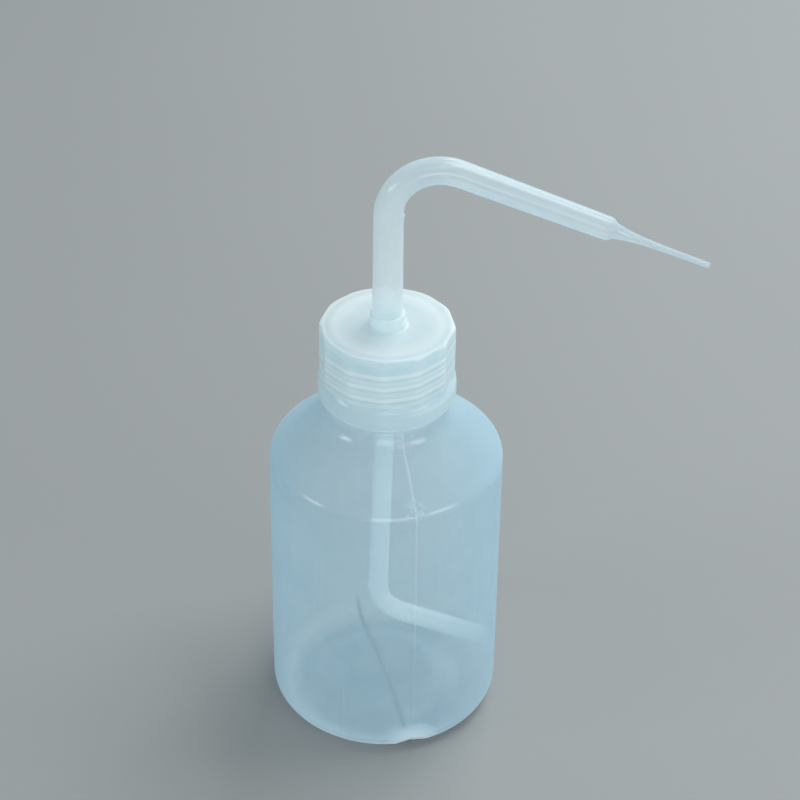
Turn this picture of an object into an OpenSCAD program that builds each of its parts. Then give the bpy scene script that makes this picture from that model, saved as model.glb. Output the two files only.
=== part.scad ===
// Wash bottle: blown bottle, screw cap with a tube collar, bent spout tube drawn to a fine tip,
// and a bent dip tube plugged into the lower end of the spout tube.
// Units are mm, +Z is up, +X is the way the spout points. The origin is the centre of the base.

/* [Bottle] */
// Outside diameter of the straight wall
body_d = 75; // [60:0.5:110]
// Height at which the straight wall ends
wall_top = 96.4; // [70:0.5:160]
// Wall thickness of the blown body
wall = 1.2; // [0.8:0.1:2.5]
// Thickness of the base
base_t = 1.5; // [1:0.1:3]
// Radius of the heel between base and wall
heel_r = 7; // [3:0.5:12]
// Height of the recess under the base
push_up = 2.2; // [0:0.1:5]
// Radius inside which the base is recessed
push_r = 24; // [10:0.5:28]
// Slope of the shoulder, from horizontal
shoulder_slope = 40; // [20:1:60]
// Radius of the rounded edge between wall and shoulder
shoulder_r = 5; // [2:0.5:12]
// Azimuth of the mould's parting plane
seam_az = -74.5; // [-180:0.5:180]

/* [Neck] */
// Radius of the neck under its thread
neck_r = 17.3; // [15:0.1:20]
// Radius of the neck's bore
bore_r = 15.3; // [13:0.1:18]
// Height of the rim
rim_z = 144.15; // [120:0.25:170]
// Thread pitch, six turns to the inch
pitch = 4.233; // [3:0.001:6]
// Depth of both threads
thread_d = 1.3; // [0.8:0.05:1.6]
// Turns of the neck's thread
neck_turns = 3.5; // [1:0.25:4]

/* [Cap] */
// Radius over the grip ridges
cap_r = 21.35; // [19:0.05:25]
// Radius of the flange at the cap's mouth
flange_r = 21.9; // [19:0.05:26]
// Radius of the cap's bore under its thread
cap_bore_r = 18.95; // [17:0.05:22]
// Height of the cap's mouth
cap_z0 = 121.3; // [100:0.1:150]
// Height of the cap's top face
cap_z1 = 146.5; // [110:0.1:170]
// Thickness of the cap's top
cap_top_t = 2.0; // [1:0.1:4]
// Number of grip scallops
grips = 12; // [6:1:24]
// Depth of a grip scallop
grip_d = 0.9; // [0.3:0.05:1.2]
// Azimuth of the first grip ridge
grip_az = -3; // [-15:1:15]
// Outside radius of the collar round the spout tube
collar_r = 5.5; // [5.2:0.05:8]
// Height of the collar above the cap's top
collar_h = 4.5; // [0:0.1:10]
// Radius of the bore that the spout tube turns in
collar_bore_r = 4.81; // [4.5:0.005:6]

/* [Spout tube] */
// Outside radius where the tube passes through the cap
spout_r0 = 4.765; // [4:0.005:6]
// Outside radius round the bend
spout_r1 = 4.45; // [3.5:0.05:6]
// Outside radius at the shoulder of the drawn tip
spout_r2 = 3.68; // [3:0.01:5]
// Bore radius of the riser and the bend
spout_bore = 3.0; // [2:0.05:4]
// Height of the tube's lower end
spout_z0 = 133; // [125:0.5:142]
// Height at which the riser starts to bend
bend_z = 186.2; // [160:0.1:230]
// Centre-line radius of the bend
bend_r = 15.5; // [10:0.5:30]
// Fall of the spout below horizontal
spout_fall = 22.1; // [0:0.1:60]
// Length of the leg between bend and tip
leg_l = 48; // [20:0.5:90]
// Length of the drawn tip
tip_l = 34.3; // [10:0.1:60]

/* [Dip tube] */
// Outside radius
dip_r = 3.175; // [2:0.005:4]
// Bore radius
dip_bore = 2.3; // [1:0.05:3]
// Height of the upper end, inside the spout tube
dip_z1 = 142.6; // [134:0.1:143]
// Lean of the long part from vertical, towards -X
dip_lean = 1.4; // [0:0.05:3]
// Centre-line radius of the elbow
elbow_r = 12; // [6:0.5:20]
// Fall of the lower leg below horizontal
dip_fall = 20.1; // [0:0.1:45]
// Height of the elbow's start
elbow_z = 41.35; // [25:0.1:70]
// Length of the lower leg, along its centre line
dip_leg = 32.6; // [10:0.1:40]
// Angle of the cut at the lower end, from square
dip_cut = 22; // [0:1:45]

/* [Hidden] */
$fn = 96;
body_r = body_d / 2;
neck_foot_r = 19.2;
neck_foot_z = 118.9;
bead_r = 20.2;
bead_z = 120.4;
sweep_r = 9.05;
lead = pitch / 360;
thread_z = 126.9;
half_root = 0.85;
half_crest = 0.45;
cap_gap = 1.54;
head = [0.90, 0.93, 0.93, 0.6];
shell = [0.78, 0.84, 0.88, 0.5];

// points of an arc round (cx, cz)
function arc(cx, cz, r, a0, a1, n) =
    [for (i = [0:n]) [cx + r * cos(a0 + (a1 - a0) * i / n), cz + r * sin(a0 + (a1 - a0) * i / n)]];

// height of a thread's crest at an angle, rising from nothing at both ends
function rise(a, a0, a1) = min(1, 0.12 + (a - a0) / 45, 0.12 + (a1 - a) / 45);

// one section of a helical ridge: root side r0, crest side r1 (r1 < r0 makes it an inside ridge)
function section(a, z, r0, r1, hr, hc) = [
    [r0 * cos(a), r0 * sin(a), z - hr],
    [r1 * cos(a), r1 * sin(a), z - hc],
    [r1 * cos(a), r1 * sin(a), z + hc],
    [r0 * cos(a), r0 * sin(a), z + hr]
];

// helical ridge from angle a0 to a1 about +Z, its centre at z0 when the angle is 0
module ridge(a0, a1, z0, r_in, r_out, inside) {
    steps = round((a1 - a0) / 9);
    sunk = inside ? r_out + 0.3 : r_in - 0.3;
    wall_r = inside ? r_out : r_in;
    sign_d = inside ? -1 : 1;
    pts = [
        for (i = [0:steps])
            let (
                a = a0 + (a1 - a0) * i / steps,
                k = rise(a, a0, a1),
                tip_r = wall_r + sign_d * (r_out - r_in) * k,
                hc = half_root + (half_crest - half_root) * k
            )
            each section(a, z0 + lead * a, sunk, tip_r, half_root + 0.09, hc)
    ];
    sides = [
        for (i = [0:steps - 1])
            for (j = [0:3])
                let (p = 4 * i + j, q = 4 * i + (j + 1) % 4)
                each (inside ? [[p, p + 4, q], [q, p + 4, q + 4]] : [[p, q, p + 4], [q, q + 4, p + 4]])
    ];
    last = 4 * steps;
    ends = inside
        ? [[0, 1, 3], [1, 2, 3], [last, last + 3, last + 1], [last + 1, last + 3, last + 2]]
        : [[0, 3, 1], [1, 3, 2], [last, last + 1, last + 3], [last + 1, last + 2, last + 3]];
    polyhedron(points = pts, faces = concat(sides, ends));
}

// ball that dents the heel on the parting plane, grown by extra
module heel_dent(extra) {
    out = heel_r + 14 - 1.1;
    translate([body_r - heel_r + out * cos(42), 0, heel_r - out * sin(42)])
        sphere(r = 14 + extra);
}

module bottle_outside() {
    a = 90 - shoulder_slope;
    rotate_extrude()
        polygon(concat(
            [[0, push_up]],
            arc(push_r - 6.5, push_up - 5.2, 5.2, 90, 50, 4),
            [[push_r, 0]],
            arc(body_r - heel_r, heel_r, heel_r, -90, 0, 10),
            arc(body_r - shoulder_r, wall_top, shoulder_r, 0, a, 7),
            arc(neck_foot_r + sweep_r, neck_foot_z, sweep_r, 180 + a, 182, 8),
            [[neck_foot_r, bead_z - 1.3]],
            arc(bead_r - 0.75, bead_z - 0.75, 0.75, -90, 90, 6),
            [[neck_r, bead_z]],
            arc(neck_r - 0.5, rim_z - 0.5, 0.5, 0, 90, 3),
            arc(bore_r + 0.5, rim_z - 0.5, 0.5, 90, 180, 3),
            [[bore_r, bead_z], [0, bead_z]]
        ));
}

module bottle_inside() {
    a = 90 - shoulder_slope;
    rotate_extrude()
        polygon(concat(
            [[0, push_up + base_t]],
            [[push_r - 6, push_up + base_t], [push_r + 1, base_t + 0.2]],
            arc(body_r - heel_r, heel_r + 0.3, heel_r - wall, -90, 0, 8),
            arc(body_r - shoulder_r, wall_top, shoulder_r - wall, 0, a, 6),
            arc(neck_foot_r + sweep_r, neck_foot_z, sweep_r + wall + 0.1, 180 + a, 192, 6),
            [[17.3, 118.2], [16.3, 120.2], [15.6, 122.2], [bore_r, 123.7], [bore_r, rim_z + 1], [0, rim_z + 1]]
        ));
}

// blown bottle: recessed base with the pinch-off line, notched heel, beaded and threaded neck
module bottle_body() {
    color(shell) {
        difference() {
            union() {
                bottle_outside();
                ridge(0, 360 * neck_turns, thread_z, neck_r, neck_r + thread_d, false);
                // weld line across the recess of the base
                rotate([0, 0, seam_az])
                    translate([-push_r + 4, -0.5, push_up - 0.5])
                        cube([2 * push_r - 8, 1.0, 1.2]);
            }
            difference() {
                bottle_inside();
                rotate([0, 0, seam_az])
                    heel_dent(1.5);
                rotate([0, 0, seam_az + 180])
                    heel_dent(1.5);
            }
            rotate([0, 0, seam_az])
                heel_dent(0);
            rotate([0, 0, seam_az + 180])
                heel_dent(0);
        }
    }
}

// radius of the scalloped skirt at an angle from the middle of a scallop
function scallop(t) = 66 * cos(t) - sqrt(pow(66 - cap_r + grip_d, 2) - pow(66 * sin(t), 2));

// skirt with its grip scallops, rounded at the top
module skirt() {
    half = 180 / grips;
    edge = half - 1.1;
    intersection() {
        translate([0, 0, cap_z0 + 3])
            linear_extrude(height = cap_z1 - cap_z0)
                polygon([
                    for (i = [0:grips - 1])
                        let (mid = grip_az + (i + 0.5) * 360 / grips)
                        each [
                            for (j = [-4:4])
                                let (t = edge * j / 4, r = min(cap_r, scallop(t)))
                                [r * cos(mid + t), r * sin(mid + t)]
                        ]
                ]);
        rotate_extrude()
            polygon(concat(
                [[0, cap_z0 + 3], [cap_r + 0.5, cap_z0 + 3]],
                arc(cap_r - 1.2, cap_z1 - 1.2, 1.2, 0, 90, 5),
                [[0, cap_z1]]
            ));
    }
}

module cap_outside() {
    skirt();
    // flange at the mouth
    rotate_extrude()
        polygon(concat(
            [[0, cap_z0], [flange_r - 0.7, cap_z0]],
            arc(flange_r - 0.9, cap_z0 + 0.9, 0.9, -70, 0, 4),
            [[flange_r, cap_z0 + 4.4], [flange_r - 0.3, cap_z0 + 6.2], [cap_r - 1.3, cap_z0 + 8.6], [0, cap_z0 + 8.6]]
        ));
    // collar round the tube
    rotate_extrude()
        polygon(concat(
            [[0, cap_z1 - 0.5], [collar_r + 1.2, cap_z1 - 0.5]],
            arc(collar_r + 1.2, cap_z1 + 1.2, 1.2, 270, 180, 4),
            [[collar_r - 0.1, cap_z1 + collar_h - 0.3], [collar_r - 0.4, cap_z1 + collar_h]],
            [[0, cap_z1 + collar_h]]
        ));
}

module cap_inside() {
    rotate_extrude()
        polygon([
            [0, cap_z0 - 1],
            [cap_bore_r + 1.0, cap_z0 - 1],
            [cap_bore_r + 0.7, cap_z0],
            [cap_bore_r, cap_z0 + 1],
            [cap_bore_r, cap_z1 - cap_top_t - 0.6],
            [cap_bore_r - 0.6, cap_z1 - cap_top_t],
            [0, cap_z1 - cap_top_t]
        ]);
}

// ring under the top that seals in the neck's bore
module plug_ring() {
    rotate_extrude()
        polygon([
            [13.4, cap_z1 - cap_top_t - 4],
            [14.4, cap_z1 - cap_top_t - 4],
            [14.95, cap_z1 - cap_top_t - 3],
            [14.95, cap_z1 - cap_top_t + 0.5],
            [13.4, cap_z1 - cap_top_t + 0.5]
        ]);
}

// screw cap: fluted skirt over a flange, inside thread, seal ring and collar for the tube
module screw_cap() {
    color(head) {
        difference() {
            union() {
                difference() {
                    cap_outside();
                    cap_inside();
                }
                plug_ring();
                // boss under the top that lengthens the tube's bearing
                translate([0, 0, cap_z1 - cap_top_t - 3])
                    cylinder(r1 = 6.6, r2 = 7.2, h = 4);
                ridge(-90, 1170, thread_z - cap_gap, cap_bore_r - thread_d, cap_bore_r, true);
            }
            translate([0, 0, cap_z0])
                cylinder(r = collar_bore_r, h = 60);
            translate([0, 0, cap_z1 - cap_top_t - 3.5])
                cylinder(r1 = collar_bore_r + 0.9, r2 = collar_bore_r, h = 1.1);
        }
    }
}

// riser, bend, leg and tip along the tube's centre line, the bend a hair under the ends it joins
module spout_path(r0, r1, r2, z0, z_mid, tip) {
    translate([0, 0, z0])
        cylinder(r = r0, h = z_mid - z0);
    translate([0, 0, z_mid])
        cylinder(r1 = r0, r2 = r1, h = bend_z - z_mid);
    translate([bend_r, 0, bend_z])
        rotate([90, 0, 0])
            rotate([0, 0, 89 - spout_fall])
                rotate_extrude(angle = 92 + spout_fall)
                    translate([bend_r, 0])
                        circle(r = r1 - 0.02);
    translate([bend_r, 0, bend_z])
        rotate([0, 90 + spout_fall, 0])
            translate([-bend_r, 0, 0]) {
                cylinder(r1 = r1, r2 = r2, h = leg_l);
                translate([0, 0, leg_l])
                    rotate_extrude()
                        polygon(concat([[0, -0.5], [r2, -0.5]], tip, [[0, tip[len(tip) - 1][1]]]));
            }
}

// spout tube: riser, bend, tapering leg and a drawn tip, hollow from end to end
module spout_tube() {
    outer_tip = [
        [spout_r2, 0], [3.52, 0.9], [3.08, 1.9], [2.60, 2.9], [2.18, 4.4], [1.78, 6.5],
        [1.45, 9], [1.22, 12], [1.02, 17], [0.90, 23], [0.87, tip_l]
    ];
    inner_tip = [
        [2.5, 0], [2.4, 0.9], [2.05, 1.9], [1.75, 2.9], [1.45, 4.4], [1.15, 6.5],
        [0.92, 9], [0.76, 12], [0.62, 17], [0.54, 23], [0.52, tip_l + 0.5]
    ];
    color(head) {
        difference() {
            spout_path(spout_r0, spout_r1, spout_r2, spout_z0, 153, outer_tip);
            spout_path(spout_bore, spout_bore, 2.5, spout_z0 - 1, 150, inner_tip);
            // socket for the dip tube
            translate([0, 0, spout_z0 - 1])
                cylinder(r = dip_r + 0.045, h = 11);
        }
    }
}

// straight top, slight lean, elbow and lower leg, all of one radius
module dip_path(r, top, extra) {
    lean_z = spout_z0 - 1.5;
    drop = (lean_z - elbow_z) / cos(dip_lean);
    turn = 90 - dip_fall + dip_lean;
    translate([0, 0, lean_z])
        cylinder(r = r, h = top - lean_z);
    translate([0, 0, lean_z])
        sphere(r = r + 0.03);
    translate([0, 0, lean_z])
        rotate([0, 180 + dip_lean, 0]) {
            cylinder(r = r, h = drop);
            translate([-elbow_r, 0, drop])
                rotate([90, 0, 0])
                    rotate([0, 0, -1])
                        rotate_extrude(angle = turn + 2)
                            translate([elbow_r, 0])
                                circle(r = r - 0.02);
            translate([-elbow_r, 0, drop])
                rotate([0, -turn, 0])
                    translate([elbow_r, 0, 0])
                        cylinder(r = r, h = dip_leg + extra);
        }
}

// dip tube: plugs into the spout tube, leans a little and turns towards the heel below the spout
module dip_tube() {
    lean_z = spout_z0 - 1.5;
    drop = (lean_z - elbow_z) / cos(dip_lean);
    turn = 90 - dip_fall + dip_lean;
    color(head) {
        difference() {
            dip_path(dip_r, dip_z1, 0);
            dip_path(dip_bore, dip_z1 + 1, 5);
            // slanted cut, longest on the underside
            translate([0, 0, lean_z])
                rotate([0, 180 + dip_lean, 0])
                    translate([-elbow_r, 0, drop])
                        rotate([0, -turn, 0])
                            translate([elbow_r + dip_r, 0, dip_leg])
                                rotate([0, -dip_cut, 0])
                                    translate([-20, -10, 0])
                                        cube([40, 20, 10]);
        }
    }
}

bottle_body();
screw_cap();
spout_tube();
dip_tube();
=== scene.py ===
import math

import bpy
import numpy as np
from mathutils import Matrix, Vector
from mathutils.bvhtree import BVHTree


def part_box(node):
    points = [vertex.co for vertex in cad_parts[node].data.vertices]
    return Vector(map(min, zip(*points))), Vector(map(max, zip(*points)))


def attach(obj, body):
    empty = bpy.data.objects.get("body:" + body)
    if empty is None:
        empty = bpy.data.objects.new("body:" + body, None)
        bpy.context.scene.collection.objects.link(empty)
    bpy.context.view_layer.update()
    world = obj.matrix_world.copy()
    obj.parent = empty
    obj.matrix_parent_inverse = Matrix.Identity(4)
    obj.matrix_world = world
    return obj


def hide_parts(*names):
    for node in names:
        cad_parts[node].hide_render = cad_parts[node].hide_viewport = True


MM = 0.001
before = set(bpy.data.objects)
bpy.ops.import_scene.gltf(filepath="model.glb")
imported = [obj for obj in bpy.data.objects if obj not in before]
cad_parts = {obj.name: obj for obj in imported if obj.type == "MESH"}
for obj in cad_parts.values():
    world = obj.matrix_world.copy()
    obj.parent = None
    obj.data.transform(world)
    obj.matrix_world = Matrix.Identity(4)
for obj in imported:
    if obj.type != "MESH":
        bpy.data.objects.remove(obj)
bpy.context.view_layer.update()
rng = np.random.default_rng(11)


def mm_box(node):
    """A CAD node's lowest and highest corners, in millimetres."""
    lo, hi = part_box(node)
    return np.array(lo) / MM, np.array(hi) / MM


# Lengths are in millimetres, angles in radians unless a comment says degrees.
_, BODY_HI = mm_box("bottle_body")
CAP_LO, CAP_HI = mm_box("screw_cap")
SPOUT_LO, SPOUT_HI = mm_box("spout_tube")
_, DIP_HI = mm_box("dip_tube")
BODY_R = BODY_HI[0]
RIM_Z = BODY_HI[2]
FLANGE_R = CAP_HI[0]
CAP_Z0 = CAP_LO[2]
COLLAR_TOP = CAP_HI[2]
CAP_Z1 = COLLAR_TOP - 4.5  # the cap's flat top, at the collar's foot
SEAM = math.radians(-74.5)  # azimuth of the plane where the mould's halves meet
SEAMS = (SEAM, SEAM + math.pi)
NECK_R = 17.3  # at the root of the neck's thread
BORE_R = 18.95  # at the root of the cap's thread
PITCH = 25.4 / 6
RIDGE = 1.3  # height of both threads
THREAD_Z = 126.9
NECK_RUN = (0, 1260)  # degrees from the start of each thread to its end
CAP_RUN = (-90, 1170)
CAP_THREAD_Z = THREAD_Z - 1.54
SKIN_SHARE = (1.7, 0.3)  # how the outer and the inner skin share out the wall's haze
EVEN_WALL = 1.6


# ---------------------------------------------------------------- outlines

def arc(cx, cz, r, a0, a1, n):
    """Points of an arc in the (r, z) plane, angles in degrees."""
    a = np.radians(np.linspace(a0, a1, n + 1))
    return [(cx + r * math.cos(t), cz + r * math.sin(t)) for t in a]


def rounded(points, steps=5):
    """A polyline of (r, z, corner radius) with its corners rounded."""
    out = []
    for i, (x, z, rad) in enumerate(points):
        if rad <= 0 or i in (0, len(points) - 1):
            out.append((x, z))
            continue
        p = np.array([x, z])
        a = np.array(points[i - 1][:2]) - p
        b = np.array(points[i + 1][:2]) - p
        la, lb = np.linalg.norm(a), np.linalg.norm(b)
        a, b = a / la, b / lb
        half = math.acos(max(-1, min(1, float(a @ b)))) / 2
        if half > math.radians(89):
            out.append((x, z))
            continue
        cut = min(rad / math.tan(half), 0.48 * la, 0.48 * lb)
        s, e = p + a * cut, p + b * cut
        for k in range(steps + 1):
            t = k / steps
            q = s * (1 - t) ** 2 + 2 * p * t * (1 - t) + e * t * t
            out.append((float(q[0]), float(q[1])))
    return out


def spaced(points, step):
    """The polyline with its long runs divided so that no run is longer than step."""
    out = [points[0]]
    for (x0, z0), (x1, z1) in zip(points[:-1], points[1:]):
        length = math.hypot(x1 - x0, z1 - z0)
        if length < 1e-5:
            continue
        n = max(1, math.ceil(length / step))
        out += [(x0 + (x1 - x0) * k / n, z0 + (z1 - z0) * k / n) for k in range(1, n + 1)]
    return out


def smooth_max(a, b, k):
    h = np.clip(0.5 + 0.5 * (a - b) / k, 0, 1)
    return b * (1 - h) + a * h + k * h * (1 - h)


def smooth_min(a, b, k):
    return -smooth_max(-a, -b, k)


def thread_height(theta, z, z_start, run, depth):
    """Height of a helical ridge at azimuth theta (degrees) and height z, tapered off at both ends."""
    taper, half_foot, flank_width = 40, 0.86, 0.42
    best = np.zeros_like(z)
    for turn in range(-2, 6):
        a = theta + 360.0 * turn
        along = np.clip(np.minimum(a - run[0], run[1] - a) / taper, 0, 1)
        along = along * along * (3 - 2 * along)
        dz = np.abs(z - (z_start + PITCH / 360 * a))
        flank = np.clip((half_foot - dz) / flank_width, 0, 1)
        best = np.maximum(best, depth * along * flank * (1.6 - 0.6 * flank))
    return best


# ---------------------------------------------------------------- meshes

def make_piece(name, verts, faces, body, node, outside,
               wall_min=0.0, wall_max=6.0, even=0.0, crest=None):
    """A smooth mesh object in metres. Each point holds the wall's thickness, its skin's share of the haze
    and, where crest is given, how dense the plastic looks there; on the cap that is painted light and shade of
    what lies behind its skin. even draws the thickness to one value."""
    mesh = bpy.data.meshes.new(name)
    mesh.from_pydata([tuple(v) for v in np.asarray(verts) * MM], [], faces)
    mesh.validate()
    mesh.shade_smooth()
    obj = bpy.data.objects.new(name, mesh)
    bpy.context.scene.collection.objects.link(obj)
    mesh.update()
    tree = BVHTree.FromPolygons([v.co for v in mesh.vertices], [p.vertices[:] for p in mesh.polygons])
    wall = np.full(len(mesh.vertices), wall_max)
    lift = 2e-5
    for v in mesh.vertices:
        hit = tree.ray_cast(v.co - v.normal * lift, -v.normal, wall_max * MM)
        if hit[0] is not None:
            wall[v.index] = min(wall_max, (hit[3] + lift) / MM)
    edges = np.empty(len(mesh.edges) * 2, np.int32)
    mesh.edges.foreach_get("vertices", edges)
    a, b = edges[0::2], edges[1::2]
    count = np.bincount(edges, minlength=len(wall)) + 1.0
    for _ in range(4):
        total = wall + np.bincount(a, wall[b], len(wall)) + np.bincount(b, wall[a], len(wall))
        wall = total / count
    wall = np.maximum(wall, wall_min) * (1 - even) + EVEN_WALL * even
    layers = {"wall": wall, "share": np.where(outside, *SKIN_SHARE)}
    if crest is not None:
        layers["crest"] = crest
    for key, values in layers.items():
        layer = mesh.attributes.new(key, "FLOAT", "POINT")
        layer.data.foreach_set("value", values.astype(np.float32))
    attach(obj, body)
    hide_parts(node)
    return obj


def grid_faces(rows, cols, wrap_rows=False):
    """Quads between rows of points, each row a closed loop; wrap_rows joins the last row to the first."""
    faces = []
    for i in range(rows if wrap_rows else rows - 1):
        p, q = i * cols, ((i + 1) % rows) * cols
        for j in range(cols):
            k = (j + 1) % cols
            faces.append((p + j, p + k, q + k, q + j))
    return faces


def revolve(profile, angles, deform):
    """Points of an (r, z) profile turned round Z, moved by deform(r, z, theta)."""
    r = np.repeat(np.array([p[0] for p in profile])[:, None], len(angles), 1)
    z = np.repeat(np.array([p[1] for p in profile])[:, None], len(angles), 1)
    t = np.repeat(np.array(angles)[None, :], len(profile), 0)
    r, z = deform(r, z, t)
    x, y = r * np.cos(t), r * np.sin(t)
    return np.stack([x, y, z], -1)


# ---------------------------------------------------------------- bottle

def column_angles():
    """Evenly spaced columns, with finer ones either side of both mould seams."""
    base = set(np.round(np.arange(0, 360, 2.5), 4))
    for seam in (math.degrees(s) % 360 for s in SEAMS):
        base = {a for a in base if abs((a - seam + 180) % 360 - 180) > 15}
        near = [0, 0.22, 0.45, 0.8, 1.3, 2] + list(np.arange(3, 15.5, 1.0))
        base |= {round((seam + s * a) % 360, 4) for a in near for s in (-1, 1)}
    return np.radians(sorted(base))


def bottle():
    """The blown shell: its outer and inner skins as one profile, threaded, seamed, dented and welded."""
    r, wall, heel_r, edge_z = BODY_R, 1.2, 7.0, 96.4
    outer = (
        [(0.0, 2.2), (4.0, 2.2), (9.0, 2.2), (14.0, 2.2)]
        + arc(17.5, -3.0, 5.2, 90, 50, 6)
        + [(22.6, 0.35), (24.0, 0.03), (26.0, 0.0)]
        + arc(r - heel_r, heel_r, heel_r, -90, 0, 18)
    )
    wall_rows = [(r, z) for z in np.linspace(12, 92, 17)]
    shoulder = arc(r - 5, edge_z, 5.0, 0, 50, 12) + arc(19.2 + 9.05, 118.9, 9.05, 230, 182, 14)
    neck_rows = [(NECK_R, z) for z in np.arange(120.9, RIM_Z - 0.62, 0.15)]
    outer += wall_rows + spaced(shoulder, 1.8)
    outer += [(19.2, 119.1)] + arc(19.45, 119.65, 0.75, -75, 90, 10)
    outer += [(17.9, 120.42), (17.45, 120.5)] + neck_rows
    outer += arc(16.8, RIM_Z - 0.5, 0.5, 0, 90, 6)
    inner = (
        arc(15.8, RIM_Z - 0.5, 0.5, 90, 180, 6)
        + [(15.3, z) for z in np.linspace(RIM_Z - 1.5, 124.2, 14)]
        + [(15.3, 123.7), (15.45, 122.9), (15.7, 121.8), (16.2, 120.4), (16.9, 118.9), (17.6, 117.7)]
        + arc(28.25, 118.9, 10.35, 195, 230, 10)
        + arc(r - 5, edge_z, 5.0 - wall, 50, 0, 10)
        + [(r - wall, z) for z in np.linspace(92, 12, 17)]
        + arc(30.5, 7.3, 5.8, 0, -90, 16)
        + [(27.6, 1.52), (25.0, 1.75), (22.5, 2.45), (20.0, 3.2), (18.0, 3.62)]
        + [(x, 3.7) for x in (15.5, 10.0, 5.0, 0.0)]
    )
    inner = spaced(inner, 4.0)
    profile = outer + inner
    n_out = len(outer)
    angles = column_angles()
    rows = len(profile)
    side = np.array([1.0] * n_out + [-1.0] * (rows - n_out))[:, None]
    ridges = {}

    def deform(rr, zz, tt):
        deg = np.degrees(tt) % 360
        on_neck = (side > 0) & (zz > 120.6) & (zz < RIM_Z - 0.3) & (rr < NECK_R + 0.01)
        ridges["height"] = np.where(on_neck, thread_height(deg, zz, THREAD_Z, NECK_RUN, RIDGE), 0.0)
        rr = rr + ridges["height"]
        # the parting line's ridge outside, taller on the shoulder, and its shallow groove inside
        for s in SEAMS:
            d = rr * np.sin(tt - s)
            facing = np.cos(tt - s) > 0
            up = np.clip((zz - 2.0) / 4.0, 0, 1) * np.clip((119.0 - zz) / 2.0, 0, 1)
            high = 0.10 + 0.22 * np.clip((zz - 104) / 12.0, 0, 1)
            bump = np.where(facing & (side > 0), high * up * np.exp(-(d / 0.24) ** 2), 0)
            groove = np.where(facing & (side < 0), 0.10 * up * np.exp(-(d / 0.6) ** 2), 0)
            steep = np.clip((112 - zz) / 14.0, 0.25, 1)
            rr = rr + (bump + groove) * steep
            zz = zz + bump * (1 - steep)
        # pinch-off weld: both halves of the parison meet in a shallow valley inside the base
        d = rr * np.sin(tt - SEAM)
        weld = np.exp(-(d / 0.55) ** 2) * np.clip((5.0 - zz) / 2.0, 0, 1) * np.clip((28 - rr) / 4, 0, 1)
        zz = np.where(side < 0, zz - 0.45 * weld, zz)
        return rr, zz

    pts = revolve(profile, angles, deform)
    # ball-shaped dents where the mould pinched the heel
    ball_r, bite, slope = 14.0, 1.1, math.radians(42)
    reach = heel_r + ball_r - bite
    across = r - heel_r + reach * math.cos(slope)
    for s in SEAMS:
        c = np.array([across * math.cos(s), across * math.sin(s), heel_r - reach * math.sin(slope)])
        for skin, rad in ((1.0, ball_r), (-1.0, ball_r + 1.5)):
            v = pts - c
            d = np.linalg.norm(v, axis=-1)
            new = smooth_max(d, np.full_like(d, rad), 0.35)
            new = np.where(d > rad + 1.2, d, np.minimum(new, np.maximum(d, rad) + 0.12))
            moved = c + v * (new / d)[..., None]
            pts = np.where((side == skin)[..., None], moved, pts)
    cols = len(angles)
    verts = [np.array([0, 0, 2.2])] + list(pts[1:-1].reshape(-1, 3)) + [np.array([0, 0, 3.25])]
    faces = [tuple(i + 1 for i in f) for f in grid_faces(rows - 2, cols)]
    last = len(verts) - 1
    faces += [(0, 1 + (j + 1) % cols, 1 + j) for j in range(cols)]
    top = 1 + (rows - 3) * cols
    faces += [(last, top + j, top + (j + 1) % cols) for j in range(cols)]
    # raised pinch-off bead across the recess of the base
    bead_v, bead_f = bar(20.0, 0.5, 1.72, 2.9, SEAM)
    off = len(verts)
    verts = np.array(verts + list(bead_v))
    faces += [tuple(i + off for i in f) for f in bead_f]
    crest = np.zeros(len(verts))
    crest[1:last] = ridges["height"][1:-1].ravel() / RIDGE
    outside = np.zeros(len(verts), bool)
    outside[:1 + (n_out - 1) * cols] = True
    return make_piece("bottle_shell", verts, faces, "bottle", "bottle_body", outside, crest=crest)


def bar(half_len, half_w, z0, z1, az):
    """A rounded bar across the axis, its ends run out to nothing."""
    stations = np.linspace(-half_len, half_len, 61)
    n = 12
    verts = []
    for s in stations:
        k = math.sqrt(max(0.0, 1 - (abs(s) / half_len) ** 6)) * (1 + 0.12 * rng.uniform(-1, 1)) + 0.02
        k = min(k, 1.0)
        for j in range(n):
            a = 2 * math.pi * j / n
            u = half_w * k * math.cos(a)
            z = (z0 + z1) / 2 + (z1 - z0) / 2 * (0.55 + 0.45 * k) * math.sin(a)
            verts.append((s * math.cos(az) - u * math.sin(az), s * math.sin(az) + u * math.cos(az), z))
    faces = grid_faces(len(stations), n)
    faces += [tuple(range(n - 1, -1, -1)), tuple(range((len(stations) - 1) * n, len(stations) * n))]
    return np.array(verts), faces


# ---------------------------------------------------------------- cap

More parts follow.
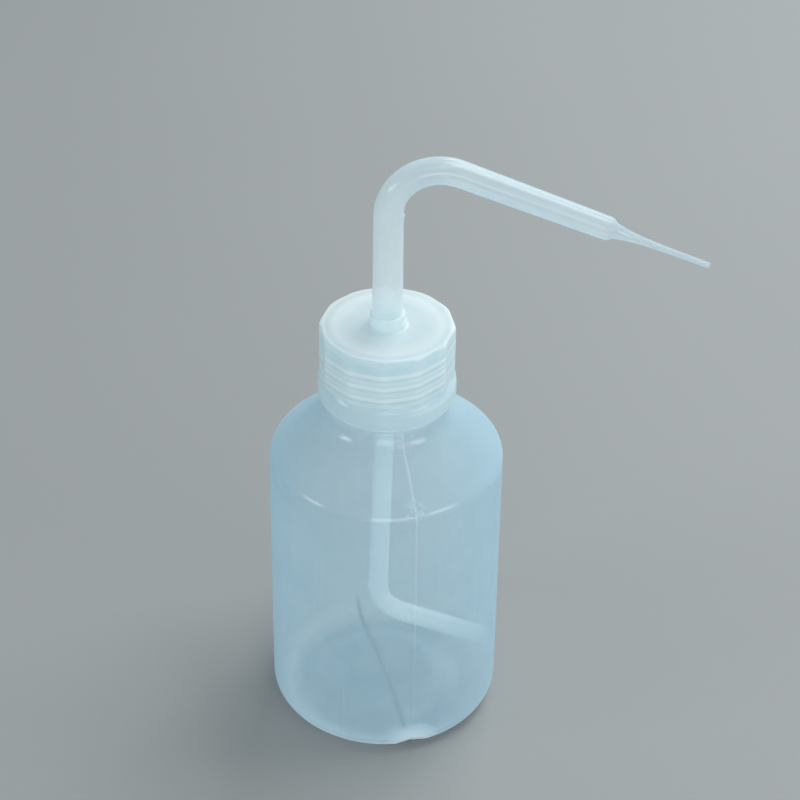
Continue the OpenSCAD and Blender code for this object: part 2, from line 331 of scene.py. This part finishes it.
def cap():
    """The cap with its twelve grip scallops, flange, collar, seal ring and thread."""
    z0, z1 = CAP_Z0, CAP_Z1
    cap_r, scallops, cutter, bite = 21.35, 12, 66, 0.9
    fine = (2.5, 5, 7.5, 9.8, 11.6, 12.8, 13.5, 13.9, 14.2, 14.6)
    offsets = [-15] + [-t for t in reversed(fine)] + [0] + list(fine)
    columns = [(-3 + (i + 0.5) * 360 / scallops + t, t) for i in range(scallops) for t in offsets]
    angles = np.radians([c[0] for c in columns])
    local = np.radians(np.array([c[1] for c in columns]))
    scallop = cutter * np.cos(local) - np.sqrt((cutter - cap_r + bite) ** 2 - (cutter * np.sin(local)) ** 2)
    skirt = smooth_min(scallop, np.full_like(scallop, cap_r - 0.02), 0.55)[None, :]

    outer = arc(21.0, z0 + 0.9, 0.9, -90, 0, 7)
    outer += spaced([(FLANGE_R, z0 + 1.4), (FLANGE_R, z0 + 4.4), (21.6, z0 + 6.2),
                     (20.05, z0 + 8.6), (20.0, z0 + 9.4)], 0.35)
    outer += [(20.0, z) for z in np.linspace(z0 + 9.8, z1 - 1.6, 46)]
    n_side = len(outer)
    outer += arc(cap_r - 1.2, z1 - 1.2, 1.2, 0, 90, 10)
    n_outer = len(outer)
    top = spaced([(cap_r - 1.35, z1), (6.9, z1)], 1.1)
    collar = arc(6.7, z1 + 1.2, 1.2, 270, 180, 8)
    collar += rounded([(5.5, z1 + 1.2, 0), (5.47, COLLAR_TOP - 0.35, 0.25), (5.15, COLLAR_TOP, 0.2),
                       (4.83, COLLAR_TOP, 0.12), (4.81, COLLAR_TOP - 0.4, 0)])[1:]
    under = rounded([
        (4.81, z1 - 4.3, 0), (5.3, z1 - 5.0, 0.15), (6.6, z1 - 5.0, 0.35), (7.05, z1 - 2.0, 0.5),
        (13.4, z1 - 2.0, 0.4), (13.4, z1 - 6.0, 0.25), (14.4, z1 - 6.0, 0.3), (14.95, z1 - 5.0, 0.4),
        (14.95, z1 - 2.0, 0.35), (18.35, z1 - 2.0, 0.3), (BORE_R, z1 - 2.6, 0)])
    under = spaced(under, 1.4)
    bore = [(BORE_R, z) for z in np.arange(z1 - 2.75, z0 + 1.05, -0.15)]
    mouth = rounded([(BORE_R, z0 + 1.0, 0), (19.65, z0, 0.3), (21.0, z0, 0)])
    collar_in = spaced([(4.81, COLLAR_TOP - 0.4), (4.81, z1 - 4.3)], 1.2)[1:-1]
    profile = outer + top + collar + collar_in + under + bore + mouth[:-1]
    rows = len(profile)
    index = np.arange(rows)[:, None]
    n_skin = n_outer + len(top) + len(collar)
    bore_start = rows - len(bore) - len(mouth) + 1
    ridges = {}

    def deform(rr, zz, tt):
        face = np.broadcast_to(skirt, rr.shape)
        is_side = index < n_side
        is_edge = (index >= n_side) & (index < n_outer)
        is_bore = (index >= bore_start) & (index < bore_start + len(bore))
        with_skirt = np.minimum(smooth_max(face, rr, 0.25), np.maximum(face, rr) + 0.03)
        start = np.clip((zz - z0 - 2.6) / 0.8, 0, 1)
        rr = np.where(is_side, rr * (1 - start) + with_skirt * start, rr)
        rr = np.where(is_edge, smooth_min(face, rr, 0.12), rr)
        deg = np.degrees(tt) % 360
        own = thread_height(deg, zz, CAP_THREAD_Z, CAP_RUN, RIDGE)
        ridges["height"] = np.where(is_bore, own, 0.0)
        # painted onto the skirt's face, shifted as if seen from above through it: the cap's own thread and,
        # deeper, the neck's, their crests as painted highlights and their roots as painted shade
        deep = thread_height(deg, zz - 0.5 * (rr - BORE_R) - 0.4, CAP_THREAD_Z, CAP_RUN, 1.0)
        deeper = thread_height(deg, zz - 0.5 * (rr - NECK_R) - 0.8, THREAD_Z - 0.5, NECK_RUN, 1.0)
        painted_thread_lines = 0.26 + 0.62 * np.maximum(0.6 * deep, deeper)
        # and painted onto the top, as if seen through it: the neck's rim and the sealing ring inside it as rings
        # of painted light, the gap outside the rim as a ring of painted shade
        rim = np.exp(-((rr - 16.3) / 1.0) ** 2) + 0.45 * np.exp(-((rr - 14.1) / 0.7) ** 2)
        painted_top_rings = 0.36 + 0.42 * rim - 0.36 * np.exp(-((rr - 18.5) / 0.7) ** 2)
        seen = np.where(is_bore, own / RIDGE, np.where(index < n_skin, painted_top_rings, 0.0))
        ridges["seen"] = np.clip(np.where(index < n_outer, painted_thread_lines, seen), 0, 1)
        return rr - ridges["height"], zz

    verts = revolve(profile, angles, deform).reshape(-1, 3)
    faces = grid_faces(rows, len(angles), wrap_rows=True)
    outside = np.repeat(np.arange(rows) < n_skin, len(angles))
    return make_piece("cap_moulding", verts, faces, "cap", "screw_cap", outside,
                      wall_max=2.4, even=0.7, crest=ridges["seen"].ravel())


# ---------------------------------------------------------------- tubes

def sweep_tube(name, path, outer, inner, body, node, squash, nub, cut=0.0):
    """A hollow tube along path(s), which gives centre, direction and inner-side normal.
    outer and inner are lists of (s, radius). squash(s) flattens it, nub(s, u) raises folds on its
    outside, and cut slants its end by that many degrees."""
    sides, cut_blend = 72, 6.0
    widest, length = max(r for _, r in outer), outer[-1][0]
    verts = []
    for skin, is_outer in ((outer, True), (inner[::-1], False)):
        for s, rad in skin:
            c, d, n = path(s)
            b = np.cross(d, n)
            flat = squash(s)
            for a in np.linspace(0, 2 * math.pi, sides, endpoint=False):
                u, v = math.cos(a), math.sin(a)
                fold = nub(s, u) if is_outer else 0.0
                p = c + n * (u * (rad * (1 - flat) + fold)) + b * (v * (rad * (1 + flat * 0.6) + fold))
                if cut:
                    near = max(0.0, 1 - (length - s) / cut_blend)
                    p = p - d * (near * (widest + rad * u) * math.tan(math.radians(cut)))
                verts.append(p)
    faces = grid_faces(len(outer) + len(inner), sides, wrap_rows=True)
    outside = np.arange(len(verts)) < len(outer) * sides
    return make_piece(name, np.array(verts), faces, body, node, outside, wall_min=1.0)


def bell(s, at, width):
    """A bell curve of height 1 along a tube, centred on at."""
    return math.exp(-((s - at) / width) ** 2)


def hump(s, start, end):
    """Rises from 0 at start to 1 halfway and falls to 0 at end."""
    t = (s - start) / (end - start)
    return math.sin(math.pi * t) ** 2 if 0 < t < 1 else 0.0


def spout():
    """The spout tube: a straight foot, a bend, a tapering leg and the drawn tip."""
    z0 = SPOUT_LO[2]
    bend_r, fall = 15.5, math.radians(22.1)
    bend_z = SPOUT_HI[2] - bend_r - 4.43
    turn = math.pi / 2 + fall
    bend, leg = bend_r * turn, 48.0
    # distances along the tube at which the bend, the leg and the tip begin
    s_bend = bend_z - z0
    s_leg = s_bend + bend
    s_tip = s_leg + leg

    def path(s):
        if s <= s_bend:
            return np.array([0, 0, z0 + s]), np.array([0, 0, 1.0]), np.array([1.0, 0, 0])
        a = min((s - s_bend) / bend_r, turn)
        n = np.array([math.cos(a), 0, -math.sin(a)])
        d = np.array([math.sin(a), 0, math.cos(a)])
        c = np.array([bend_r, 0, bend_z]) - n * bend_r
        if s > s_leg:
            c = c + d * (s - s_leg)
        return c, d, n

    tip_outer = [(0, 3.68), (0.5, 3.64), (0.9, 3.55), (1.3, 3.38), (1.7, 3.10), (2.1, 2.80), (2.6, 2.52),
                 (3.4, 2.32), (4.4, 2.15), (5.4, 1.96), (6.5, 1.78), (7.7, 1.60), (9, 1.45), (10.5, 1.32),
                 (12, 1.22), (14.5, 1.11), (17, 1.02), (20, 0.95), (23, 0.90), (28, 0.88), (33.9, 0.87),
                 (34.2, 0.82), (34.3, 0.74)]
    tip_inner = [(0, 2.5), (0.9, 2.4), (1.9, 2.05), (2.9, 1.75), (4.4, 1.45), (6.5, 1.15), (9, 0.92), (12, 0.76),
                 (17, 0.62), (23, 0.54), (30, 0.52), (34.1, 0.53), (34.3, 0.60)]
    outer = [(0.0, 4.35), (0.08, 4.55), (0.3, 4.72), (0.6, 4.765)]
    outer += [(s, 4.765) for s in (4, 8, 12, 16, 18.5)]
    outer += [(s, 4.765 - 0.155 * (s - 20) / (s_bend - 20)) for s in np.linspace(20, s_bend, 14)]
    outer += [(s_bend + bend * t, 4.61 - 0.46 * t) for t in np.linspace(0, 1, 34)[1:]]
    outer += [(s_leg + leg * t, 4.15 - 0.43 * t - 0.4 * max(0, t - 0.9)) for t in np.linspace(0, 1, 26)[1:-1]]
    outer += [(s_tip + s, r) for s, r in tip_outer]
    inner = [(0.0, 3.6), (0.5, 3.25), (0.8, 3.22), (4, 3.22), (8, 3.22), (9.9, 3.22)]
    inner += [(s, 3.0) for s in (10.0, 13, 16, *np.linspace(20, s_bend, 10))]
    inner += [(s_bend + bend * t, 3.0) for t in np.linspace(0, 1, 30)[1:]]
    inner += [(s_leg + leg * t, 3.0 - 0.5 * t) for t in np.linspace(0, 1, 14)[1:-1]]
    inner += [(s_tip + s, r) for s, r in tip_inner]

    def squash(s):
        return 0.035 * hump(s, s_bend, s_leg)

    def nub(s, u):
        """Small folds on the inner side, where the tube was heated and bent."""
        inside = max(0.0, u) ** 6
        fold = 0.42 * bell(s, s_bend - 0.4, 0.75) + 0.22 * bell(s, s_bend + 2.6, 0.6)
        return inside * (fold + 0.14 * bell(s, s_leg - 1.5, 1.2))

    return sweep_tube("spout_drawn", path, outer, inner, "spout", "spout_tube", squash, nub)


def dip():
    """The dip tube: an upright plug, a slightly leaning shaft, an elbow and a leg with a slanted end."""
    top, lean_z, elbow_z = DIP_HI[2], 131.5, 41.35
    lean, elbow_r, fall = math.radians(1.4), 12.0, math.radians(20.1)
    leg, cut = 32.6, 22.0
    turn = math.pi / 2 - fall + lean
    drop, bend = (lean_z - elbow_z) / math.cos(lean), elbow_r * turn
    # distances along the tube, from its top, at which the shaft, the elbow and the leg begin
    s_lean = top - lean_z
    s_bend = s_lean + drop
    s_leg = s_bend + bend

    def path(s):
        if s <= s_lean:
            return np.array([0, 0, top - s]), np.array([0, 0, -1.0]), np.array([1.0, 0, 0])
        d0 = np.array([-math.sin(lean), 0, -math.cos(lean)])
        n0 = np.array([math.cos(lean), 0, -math.sin(lean)])
        base = np.array([0, 0, lean_z])
        if s <= s_bend:
            return base + d0 * (s - s_lean), d0, n0
        a = min((s - s_bend) / elbow_r, turn)
        centre = base + d0 * drop + n0 * elbow_r
        n = n0 * math.cos(a) - d0 * math.sin(a)
        d = d0 * math.cos(a) + n0 * math.sin(a)
        c = centre - n * elbow_r
        if s > s_leg:
            c = c + d * (s - s_leg)
        return c, d, n

    end = s_leg + leg
    outer = [(0.0, 2.95), (0.1, 3.1), (0.3, 3.175)]
    outer += [(s, 3.175) for s in (*np.linspace(1.5, s_lean - 1.5, 5), *np.linspace(s_lean + 1.5, s_bend - 3, 22),
                                   *np.linspace(s_bend - 2.2, s_bend, 5))]
    outer += [(s_bend + bend * t, 3.17) for t in np.linspace(0, 1, 22)[1:]]
    outer += [(s_leg + leg * t, 3.175)
              for t in (0.04, 0.1, 0.2, 0.32, 0.44, 0.56, 0.68, 0.78, 0.86, 0.92, 0.96, 0.985, 0.997)]
    outer += [(end, 3.08)]
    inner = [(0.0, 2.5), (0.3, 2.3)]
    inner += [(s, 2.3) for s in np.linspace(2, s_bend, 22)]
    inner += [(s_bend + bend * t, 2.3) for t in np.linspace(0, 1, 20)[1:]]
    inner += [(s_leg + leg * t, 2.3) for t in (0.1, 0.3, 0.5, 0.7, 0.85, 0.93, 0.99)]
    inner += [(end, 2.38)]

    def squash(s):
        return 0.05 * hump(s, s_bend, s_leg)

    def nub(s, u):
        """Folds left by bending: one on the outer side at the start, two flatter ones inside."""
        outside, inside = max(0.0, -u) ** 6, max(0.0, u) ** 6
        flatter = 0.25 * bell(s, s_bend + 6.5, 1.1) + 0.15 * bell(s, s_leg, 1.0)
        return outside * 0.40 * bell(s, s_bend + 0.2, 0.7) + inside * flatter

    return sweep_tube("dip_bent", path, outer, inner, "dip", "dip_tube", squash, nub, cut)


# ---------------------------------------------------------------- materials

class Nodes:
    """Short-hand for building one material's node tree."""

    def __init__(self, name):
        self.mat = bpy.data.materials.new(name)
        self.mat.use_nodes = True
        self.nt = self.mat.node_tree
        self.nt.nodes.clear()

    def add(self, kind, **sockets):
        n = self.nt.nodes.new(kind)
        for key, value in sockets.items():
            if key.startswith("_"):
                setattr(n, key[1:], value)
            else:
                self.put(n.inputs[key.replace("__", " ")], value)
        return n

    def put(self, socket, value):
        if isinstance(value, bpy.types.NodeSocket):
            self.nt.links.new(value, socket)
        else:
            socket.default_value = value

    def math(self, op, a, b=None, c=None, clamp=False):
        n = self.nt.nodes.new("ShaderNodeMath")
        n.operation = op
        n.use_clamp = clamp
        for i, v in enumerate((a, b, c)):
            if v is not None:
                self.put(n.inputs[i], v)
        return n.outputs[0]

    def ramp(self, value, lo, hi, out_lo=0.0, out_hi=1.0):
        n = self.nt.nodes.new("ShaderNodeMapRange")
        n.interpolation_type = "SMOOTHSTEP"
        self.put(n.inputs["Value"], value)
        for key, v in (("From Min", lo), ("From Max", hi), ("To Min", out_lo), ("To Max", out_hi)):
            self.put(n.inputs[key], v)
        return n.outputs["Result"]

    def mix_colour(self, fac, a, b):
        n = self.nt.nodes.new("ShaderNodeMix")
        n.data_type = "RGBA"
        self.put(n.inputs[0], fac)
        self.put(n.inputs[6], a)
        self.put(n.inputs[7], b)
        return n.outputs[2]

    def product(self, first, *others):
        for other in others:
            first = self.math("MULTIPLY", first, other)
        return first

    def vector(self, op, a, b=(0.0, 0.0, 0.0)):
        """A vector node that gives one value: DISTANCE between two points, or LENGTH."""
        n = self.add("ShaderNodeVectorMath", _operation=op)
        self.put(n.inputs[0], a)
        self.put(n.inputs[1], b)
        return n.outputs["Value"]

    def mix_shader(self, fac, a, b):
        n = self.add("ShaderNodeMixShader", Fac=fac)
        self.put(n.inputs[1], a.outputs[0])
        self.put(n.inputs[2], b.outputs[0])
        return n

    def output(self, surface):
        self.add("ShaderNodeOutputMaterial", Surface=surface.outputs[0])
        return self.mat

    def noise(self, coords, scale, detail=3.0, rough=0.5, stretch=None):
        if stretch is not None:
            m = self.add("ShaderNodeMapping", Vector=coords)
            m.inputs["Scale"].default_value = stretch
            coords = m.outputs[0]
        n = self.add("ShaderNodeTexNoise", Vector=coords, Scale=scale, Detail=detail, Roughness=rough)
        return n.outputs["Fac"]


def on_seam(r, z):
    """The point, in metres, of the front parting line at that radius and height."""
    return math.cos(SEAM) * r * MM, math.sin(SEAM) * r * MM, z * MM


def bottle_marks(k, coords, amount, height):
    """What blow moulding leaves on the bottle, and painted highlights at the pinched heel and along the seam on
    the shoulder. Gives the new amount and height, how white each point turns and where the weld's crease is
    shaded."""
    xyz = k.add("ShaderNodeSeparateXYZ", Vector=coords)
    x, y, z = xyz.outputs["X"], xyz.outputs["Y"], xyz.outputs["Z"]
    # the mould's parting line, a hair-thin line of denser material in the plane of both seams; higher up, and
    # most of all on the shoulder, it is drawn denser and whiter, partly a painted highlight along the seam
    across = k.math("ABSOLUTE", k.math("SUBTRACT", k.product(x, math.sin(SEAM)), k.product(y, math.cos(SEAM))))
    line = k.ramp(across, 0.00012, k.ramp(z, 0.003, 0.007, 0.0011, 0.00055), 1.0, 0.0)
    line = k.product(line, k.ramp(z, 0.117, 0.120, 1.0, 0.0))
    upper = k.ramp(z, 0.030, 0.065, 0.15, 1.0)
    faint = k.math("ADD", k.ramp(z, 0.004, 0.007, 0.6, 0.0), k.product(upper, 0.14))
    # painted highlight: the line's stretch on the shoulder is drawn much denser
    faint = k.math("ADD", faint, k.ramp(z, 0.090, 0.104, 0.0, 0.96))
    amount = k.math("MULTIPLY_ADD", line, faint, amount)
    height = k.math("MULTIPLY_ADD", k.product(line, upper), 0.2, height)
    # the heel, where the wall is thicker all the way round
    radial = k.math("SQRT", k.math("ADD", k.math("POWER", x, 2.0), k.math("POWER", y, 2.0)))
    heel = k.product(k.ramp(radial, 0.0265, 0.0320), k.ramp(z, 0.0008, 0.0055, 1.0, 0.0))
    amount = k.math("MULTIPLY_ADD", heel, 1.8, amount)
    # the pinched heel, where the wall is folded and thick, drawn near-opaque white: partly the fold's own
    # whiteness, partly a painted highlight
    pinch = k.ramp(k.vector("DISTANCE", coords, on_seam(BODY_R - 4.5, 3.0)), 0.0030, 0.0105, 1.0, 0.0)
    amount = k.math("MULTIPLY_ADD", pinch, 10.0, amount)
    # small crumples beside the seam, at the neck's foot and at the shoulder's edge
    crumple = k.ramp(k.noise(coords, 560.0, 1.0, 0.5), 0.50, 0.62)
    for r, spot_z, reach in ((19.6, 116.5, 6.5), (35.6, 101.0, 4.5)):
        mask = k.ramp(k.vector("DISTANCE", coords, on_seam(r, spot_z)), 0.001, reach * MM, 1.0, 0.0)
        mask = k.product(crumple, mask)
        height = k.math("MULTIPLY_ADD", mask, 1.2, height)
        amount = k.math("MULTIPLY_ADD", mask, 0.9, amount)
    # how white each point turns: the thick heel, the seam, and the pinch with its painted highlight
    whiter = k.math("ADD", k.math("ADD", heel, pinch), k.product(line, upper, 0.4))
    shade = k.product(line, k.ramp(z, 0.004, 0.006, 0.75, 0.0))
    return amount, height, whiter, shade


def haze_plastic(name, thin, thick, density, gloss_rough, wave, grain=0.05, mottle=0.12, thin_mm=0.6,
                 thick_mm=3.0, rim=0.35, crests=0.0, scratches=0.0, seams=False, collar_z=0.0):
    """Natural, translucent plastic. Each skin carries its share of the wall's haze: the longer the
    way through the wall, the more it scatters. The gloss is a layer of its own on top.
    thin and thick are the colours at walls of thin_mm and thick_mm."""
    refraction = 1.38
    head_on = ((refraction - 1) / (refraction + 1)) ** 2  # what the gloss mirrors seen square on
    k = Nodes(name)
    coords = k.add("ShaderNodeTexCoord").outputs["Object"]
    wall = k.add("ShaderNodeAttribute", _attribute_name="wall").outputs["Fac"]
    cloud = k.noise(coords, 70.0, 4.0, 0.55)
    fine = k.noise(coords, 900.0, 3.0, 0.6)
    streak = k.noise(coords, 160.0, 3.0, 0.6, (1.0, 1.0, 0.12))
    ripple = k.noise(coords, 38.0, 2.0, 0.45, (1.0, 1.0, 0.45))

    # amount: how much haze there is at this point, around 1; height: the surface's unevenness
    amount = 1.0
    for texture, strength in ((cloud, 1.6), (streak, 1.0), (fine, 0.5)):
        amount = k.math("MULTIPLY_ADD", k.math("SUBTRACT", texture, 0.5), mottle * strength, amount)
    height = k.math("MULTIPLY_ADD", ripple, wave, k.product(fine, grain))
    if seams:
        amount, height, whiter, shade = bottle_marks(k, coords, amount, height)
    if scratches:
        wear = k.ramp(k.noise(coords, 420.0, 2.0, 0.7, (1.0, 1.0, 0.05)), 0.66, 0.74)
        amount = k.math("MULTIPLY_ADD", wear, scratches, amount)
    # crest: the neck thread's own height on the bottle; on the cap, the painted light and shade of the threads
    # and rings behind its skin
    if crests:
        crest = k.add("ShaderNodeAttribute", _attribute_name="crest").outputs["Fac"]
        amount = k.math("MULTIPLY_ADD", crest, crests, amount)
    share = k.add("ShaderNodeAttribute", _attribute_name="share").outputs["Fac"]
    depth = k.product(wall, share, density / 2, amount)
    facing = k.add("ShaderNodeLayerWeight", Blend=0.5).outputs["Facing"]
    cosine = k.math("MAXIMUM", k.math("SUBTRACT", 1.0, facing), 0.10)
    passed = k.math("EXPONENT", k.product(k.math("DIVIDE", depth, cosine), -1.0))
    alpha = k.math("SUBTRACT", 1.0, passed, clamp=True)

    # tone: 0 for the thin wall's colour, 1 for the thick wall's
    tone = k.ramp(wall, thin_mm, thick_mm)
    if collar_z:
        z = k.add("ShaderNodeSeparateXYZ", Vector=coords).outputs["Z"]
        tone = k.math("ADD", tone, k.ramp(z, (collar_z - 1.0) * MM, (collar_z + 0.5) * MM, 0.0, 0.7))
    if seams:
        tone = k.math("ADD", tone, whiter)
    if crests:
        tone = k.math("ADD", k.product(tone, 0.7), k.product(crest, 0.7))
    tone = k.math("ADD", tone, k.product(k.math("SUBTRACT", cloud, 0.5), 0.35), clamp=True)
    colour = k.mix_colour(tone, (*thin, 1.0), (*thick, 1.0))
    if seams:
        # under the base the parting line is a crease that holds a little shade
        colour = k.mix_colour(shade, colour, (0.13, 0.26, 0.34, 1.0))

    body = k.add("ShaderNodeBsdfPrincipled", Base__Color=colour, Roughness=0.6, Specular__IOR__Level=0.0)
    through = k.add("ShaderNodeBsdfTranslucent", Color=colour)
    haze = k.mix_shader(0.5, body, through)
    clear = k.add("ShaderNodeBsdfTransparent", Color=(1, 1, 1, 1))
    seen = k.mix_shader(alpha, clear, haze)
    bump = k.add("ShaderNodeBump", Strength=0.35, Distance=0.0006, Height=height).outputs[0]
    rough = k.math("MULTIPLY_ADD", k.math("SUBTRACT", fine, 0.5), 0.10, gloss_rough)
    shine = k.add("ShaderNodeBsdfGlossy", Color=(1, 1, 1, 1), Roughness=rough, Normal=bump)
    slant = k.add("ShaderNodeLayerWeight", Blend=0.5, Normal=bump).outputs["Facing"]
    mirror = k.math("MULTIPLY_ADD", k.math("POWER", slant, 5.0), rim - head_on, head_on)
    return k.output(k.mix_shader(mirror, seen, shine))


def floor_material():
    k = Nodes("floor_paper")
    coords = k.add("ShaderNodeTexCoord").outputs["Object"]
    soft = k.noise(coords, 3.0, 2.0, 0.5)
    grain = k.noise(coords, 700.0, 3.0, 0.6)
    tone = k.math("MULTIPLY_ADD", soft, 0.7, k.math("MULTIPLY", grain, 0.3))
    near = k.mix_colour(tone, (0.262, 0.280, 0.284, 1), (0.292, 0.310, 0.314, 1))
    # painted light: the floor turns paler far off, where the lamps hardly reach it
    far_off_painted_light = k.ramp(k.vector("LENGTH", coords), 0.6, 1.8)
    colour = k.mix_colour(far_off_painted_light, near, (0.55, 0.58, 0.59, 1))
    bump = k.add("ShaderNodeBump", Strength=0.12, Distance=0.0003, Height=grain).outputs[0]
    return k.output(k.add("ShaderNodeBsdfPrincipled", Base__Color=colour, Roughness=0.7, Normal=bump))


# ---------------------------------------------------------------- scene

def build_floor():
    """A round sheet of pale paper, a hair below the bottle so that the two don't share a plane."""
    rings, n, floor_z = (0.2, 0.5, 1.0, 2.0, 4.0), 64, -0.00002
    turns = [2 * math.pi * j / n for j in range(n)]
    verts = [(0, 0, floor_z)] + [(r * math.cos(a), r * math.sin(a), floor_z) for r in rings for a in turns]
    faces = [(0, 1 + j, 1 + (j + 1) % n) for j in range(n)]
    for i in range(len(rings) - 1):
        p, q = 1 + i * n, 1 + (i + 1) * n
        faces += [(p + j, q + j, q + (j + 1) % n, p + (j + 1) % n) for j in range(n)]
    mesh = bpy.data.meshes.new("floor")
    mesh.from_pydata(verts, [], faces)
    obj = bpy.data.objects.new("floor", mesh)
    bpy.context.scene.collection.objects.link(obj)
    mesh.materials.append(floor_material())


def area_light(name, place, size_x, size_y, watts, colour=(1, 1, 1), aim_z=0.10):
    """A rectangular light at place that faces the bottle's axis at height aim_z."""
    data = bpy.data.lights.new(name, "AREA")
    data.shape = "RECTANGLE"
    data.size, data.size_y = size_x, size_y
    data.energy = watts
    data.color = colour
    obj = bpy.data.objects.new(name, data)
    bpy.context.scene.collection.objects.link(obj)
    obj.location = place
    direction = Vector((0, 0, aim_z)) - Vector(place)
    obj.rotation_mode = "QUATERNION"
    obj.rotation_quaternion = direction.to_track_quat("-Z", "Y")


def build_stage():
    build_floor()
    warm, cool = (1.0, 0.99, 0.97), (0.97, 0.99, 1.0)
    area_light("key_right", (0.62, 0.28, 1.35), 0.8, 0.8, 10.4, warm, aim_z=0.09)
    area_light("low_right", (0.90, -0.70, 0.42), 0.55, 0.30, 2.6)
    area_light("low_left", (-1.10, -0.40, 0.45), 0.40, 0.25, 2.0, cool)
    area_light("spark", (0.075, -0.28, 1.26), 0.05, 0.05, 0.45)
    area_light("back_right", (0.45, 0.95, 0.80), 0.7, 0.6, 6.0, cool)
    area_light("front", (0.2, -1.5, 0.35), 1.2, 0.5, 6.8)
    world = bpy.data.worlds.new("studio")
    world.use_nodes = True
    back = world.node_tree.nodes.get("Background") or world.node_tree.nodes.new("ShaderNodeBackground")
    back.inputs["Color"].default_value = (0.82, 0.88, 0.90, 1)
    back.inputs["Strength"].default_value = 0.50
    bpy.context.scene.world = world


def build_camera():
    """A long lens that looks down at the bottle from its front, rolled a little."""
    scene = bpy.context.scene
    data = bpy.data.cameras.new("camera")
    cam = bpy.data.objects.new("camera", data)
    scene.collection.objects.link(cam)
    data.sensor_width = 36.0
    data.lens = 111.85
    down, roll = math.radians(36.0), math.radians(0.8)
    forward = Vector((0, math.cos(down), -math.sin(down)))
    up0 = Vector((0, math.sin(down), math.cos(down)))
    right0 = Vector((1, 0, 0))
    right = right0 * math.cos(roll) + up0 * math.sin(roll)
    up = up0 * math.cos(roll) - right0 * math.sin(roll)
    looked_at, distance = Vector((0.0042123, 0, 0.117534)), 0.78555
    place = looked_at - forward * distance
    turn = Matrix((right, up, -forward)).transposed()
    cam.matrix_world = Matrix.Translation(place) @ turn.to_4x4()
    data.clip_start, data.clip_end = 0.01, 50
    scene.camera = cam
    scene.view_settings.view_transform = "Standard"
    scene.cycles.transparent_max_bounces = 40
    scene.cycles.max_bounces = 12
    scene.cycles.diffuse_bounces = 7


shell = bottle()
lid = cap()
jet = spout()
straw = dip()

shell.data.materials.append(haze_plastic(
    "blown_bottle", (0.52, 0.755, 0.875), (0.95, 0.99, 1.0), 0.395, 0.15,
    wave=0.08, crests=1.6, scratches=0.10, seams=True))
lid.data.materials.append(haze_plastic(
    "moulded_cap", (0.58, 0.83, 0.90), (0.95, 1.0, 1.0), 0.36, 0.16,
    wave=0.05, grain=0.04, thin_mm=0.9, thick_mm=2.6, crests=1.8, collar_z=CAP_Z1))
jet.data.materials.append(haze_plastic(
    "drawn_spout", (0.64, 0.82, 0.90), (0.95, 1.0, 1.0), 0.42, 0.13,
    wave=0.05, mottle=0.10, thick_mm=2.6, rim=0.5))
straw.data.materials.append(haze_plastic(
    "extruded_dip", (0.90, 0.98, 1.0), (1.0, 1.0, 1.0), 2.6, 0.20,
    wave=0.10, thick_mm=2.0))

build_stage()
build_camera()
